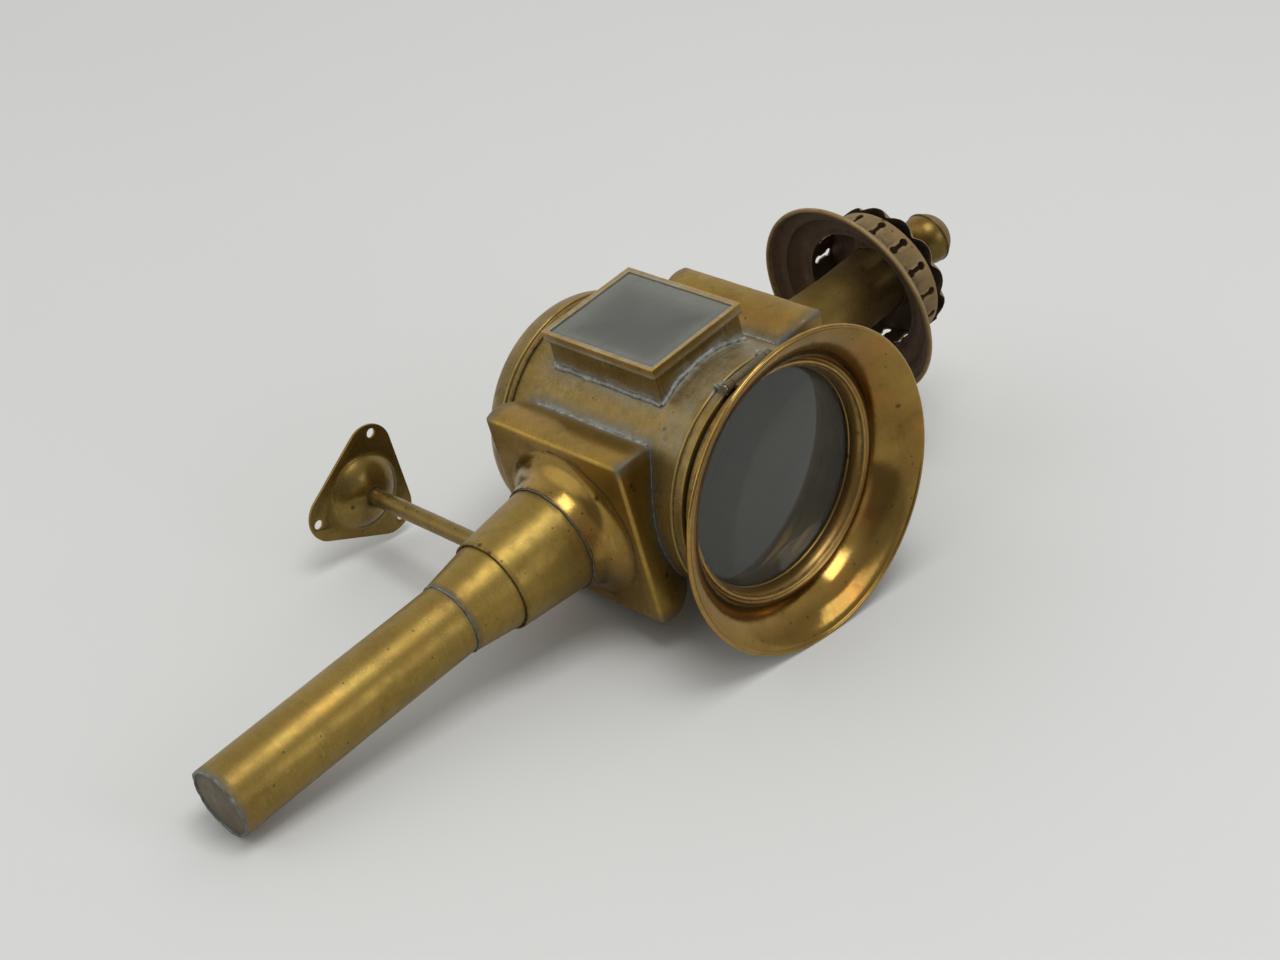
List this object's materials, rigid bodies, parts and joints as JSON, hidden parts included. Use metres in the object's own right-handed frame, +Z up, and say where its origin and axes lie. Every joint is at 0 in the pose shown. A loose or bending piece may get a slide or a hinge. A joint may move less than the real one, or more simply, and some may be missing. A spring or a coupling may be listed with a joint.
{
  "type": "carriage lamp",
  "caption": "Brass carriage lamp with a drum body, hinged bell-mouthed glazed door, side window, spring-fed candle tube, vented chimney cap and wall bracket.",
  "frame": {"origin": "centre of the bracket plate's back face, where the lamp is screwed to the carriage", "axes": "+Z up along the candle, -Y the way the front glass faces, +Y into the carriage, -X the side window's side"},
  "size_m": [0.152, 0.2, 0.4686],
  "materials": {
    "brass_aged": "aged semi-polished",
    "brass_dull": "dull tarnished",
    "brass_bright": "polished",
    "front_pane": "clear, smoked",
    "side_pane": "hazy",
    "silvered": "worn silver plate",
    "steel_wire": "dull"
  },
  "bodies": {
    "lamp_body": {"drum": "brass_aged", "front_ring": "brass_aged", "back_dome": "brass_aged", "reflector": "silvered", "top_pan": "brass_aged", "bottom_pan": "brass_aged", "lower_collar": "brass_aged", "candle_socket": "brass_aged", "window_box": "brass_aged", "window_frame": "brass_aged", "window_glass": "side_pane", "flue": "brass_aged", "cap_stays": "brass_dull", "skirt": "brass_dull", "gallery": "brass_dull", "crown": "brass_dull", "finial_bowl": "brass_bright", "finial_dome": "brass_bright", "bracket_arm": "brass_aged", "bracket_plate": "brass_aged", "hinge_lugs": "brass_aged", "hinge_pin": "steel_wire"},
    "door": {"door_ring": "brass_aged", "hood": "brass_aged", "glass_bezel": "brass_aged", "front_glass": "front_pane", "glass_retainer": "brass_aged", "hinge_knuckle": "brass_aged", "door_tab": "brass_aged"},
    "candle_holder": {"candle_tube": "brass_aged", "tube_cone": "brass_aged", "tube_end": "brass_aged", "candle_cap": "brass_aged", "candle_spring": "steel_wire"},
    "follower": {"candle_follower": "brass_aged"}
  },
  "joints": [
    {"name": "door_hinge", "type": "hinge", "parent": "lamp_body", "child": "door", "pos_m": [-0.0596, -0.1785, 0.1], "axis": [0, 0, -1], "range_deg": [0, 110]},
    {"name": "candle_tube_slide", "type": "slide", "parent": "lamp_body", "child": "candle_holder", "axis": [0, 0, -1], "range_m": [0, 0.079]},
    {"name": "follower_slide", "type": "slide", "parent": "candle_holder", "child": "follower", "axis": [0, 0, -1], "range_m": [0, 0.15], "stiffness_N_per_m": 40, "springref_m": -0.05, "deforming": ["candle_spring"]}
  ]
}
